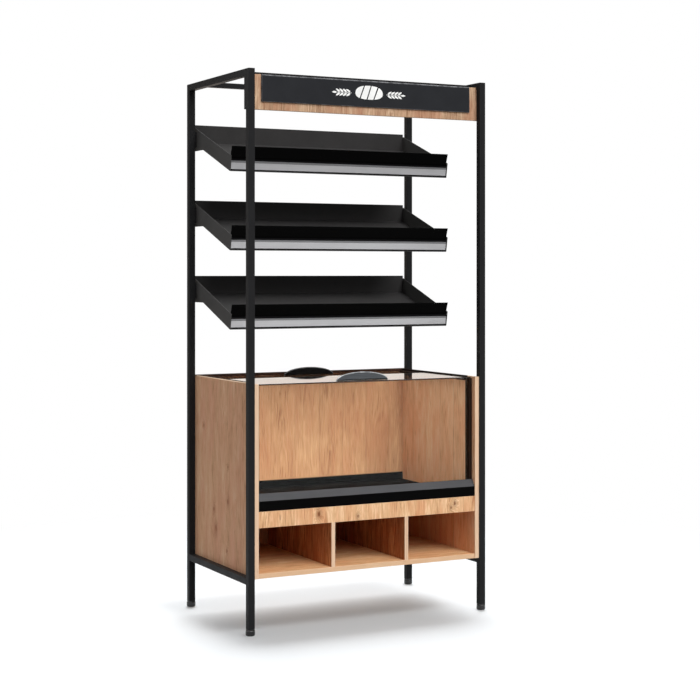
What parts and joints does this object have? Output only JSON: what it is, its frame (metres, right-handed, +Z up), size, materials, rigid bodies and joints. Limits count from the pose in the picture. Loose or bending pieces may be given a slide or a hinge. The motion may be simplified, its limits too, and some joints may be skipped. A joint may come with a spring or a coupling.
{
  "type": "bakery bread rack",
  "caption": "Free-standing shop rack for bread: square-tube frame, header sign, tilted tray shelves with price rails, clear-fronted bin with sliding lids, and open cubbies below.",
  "frame": {"origin": "on the floor, under the middle of the rack", "axes": "+Z up, +X to the right of someone facing the front, front towards -Y"},
  "size_m": [1.009, 0.609, 2.043],
  "materials": {
    "frame_black": "fine-textured black powder coat",
    "tray_black": "satin black powder coat on folded sheet",
    "foot_black": "moulded black plastic",
    "track_black": "extruded black plastic",
    "handle_black": "polished black acrylic",
    "sign_black": "satin black sign board",
    "rail_grey": "grey price strip with a clear front",
    "oak_board": "light oak-look boards, matt, with the grain upright",
    "clear_panel": "clear polished panel"
  },
  "bodies": {
    "rack": {"post_front_left": "frame_black", "post_front_right": "frame_black", "post_rear_left": "frame_black", "post_rear_right": "frame_black", "foot_plug_front_left": "foot_black", "foot_plug_front_right": "foot_black", "foot_plug_rear_left": "foot_black", "foot_plug_rear_right": "foot_black", "top_rail_left": "frame_black", "top_rail_right": "frame_black", "bottom_rail_left": "frame_black", "bottom_rail_right": "frame_black", "top_cross_rail_front": "frame_black", "top_cross_rail_rear": "frame_black", "bottom_cross_rail_front": "frame_black", "bottom_cross_rail_rear": "frame_black", "header_board": "oak_board", "header_bracket_left": "frame_black", "header_bracket_right": "frame_black", "sign_panel": "sign_black", "shelf_1_tray": "tray_black", "shelf_1_price_rail": "rail_grey", "shelf_1_side_left": "tray_black", "shelf_1_side_right": "tray_black", "shelf_1_spacer_left": "frame_black", "shelf_1_spacer_right": "frame_black", "shelf_2_tray": "tray_black", "shelf_2_price_rail": "rail_grey", "shelf_2_side_left": "tray_black", "shelf_2_side_right": "tray_black", "shelf_2_spacer_left": "frame_black", "shelf_2_spacer_right": "frame_black", "shelf_3_tray": "tray_black", "shelf_3_price_rail": "rail_grey", "shelf_3_side_left": "tray_black", "shelf_3_side_right": "tray_black", "shelf_3_spacer_left": "frame_black", "shelf_3_spacer_right": "frame_black", "side_panel_left": "oak_board", "side_panel_right": "oak_board", "back_panel": "oak_board", "bottom_board": "oak_board", "deck_board": "oak_board", "apron": "oak_board", "divider_1": "oak_board", "divider_2": "oak_board", "bin_tray": "tray_black", "front_glass": "clear_panel", "glass_channel_left": "track_black", "glass_channel_right": "track_black", "lid_track_left": "track_black", "lid_track_right": "track_black"},
    "front_lid": {"front_lid": "clear_panel", "front_handle": "handle_black"},
    "rear_lid": {"rear_lid": "clear_panel", "rear_handle": "handle_black"},
    "foot_front_left": {"foot_front_left": "foot_black"},
    "foot_front_right": {"foot_front_right": "foot_black"},
    "foot_rear_left": {"foot_rear_left": "foot_black"},
    "foot_rear_right": {"foot_rear_right": "foot_black"}
  },
  "joints": [
    {"name": "front_lid_slide", "type": "slide", "parent": "rack", "child": "front_lid", "axis": [0, 1, 0], "range_m": [0, 0.183]},
    {"name": "rear_lid_slide", "type": "slide", "parent": "rack", "child": "rear_lid", "axis": [0, 1, 0], "range_m": [-0.183, 0]},
    {"name": "foot_front_left_turn", "type": "hinge", "parent": "rack", "child": "foot_front_left", "pos_m": [-0.4875, -0.2875, 0], "axis": [0, 0, 1], "continuous": true},
    {"name": "foot_front_right_turn", "type": "hinge", "parent": "rack", "child": "foot_front_right", "pos_m": [0.4875, -0.2875, 0], "axis": [0, 0, 1], "continuous": true},
    {"name": "foot_rear_left_turn", "type": "hinge", "parent": "rack", "child": "foot_rear_left", "pos_m": [-0.4875, 0.2875, 0], "axis": [0, 0, 1], "continuous": true},
    {"name": "foot_rear_right_turn", "type": "hinge", "parent": "rack", "child": "foot_rear_right", "pos_m": [0.4875, 0.2875, 0], "axis": [0, 0, 1], "continuous": true}
  ]
}
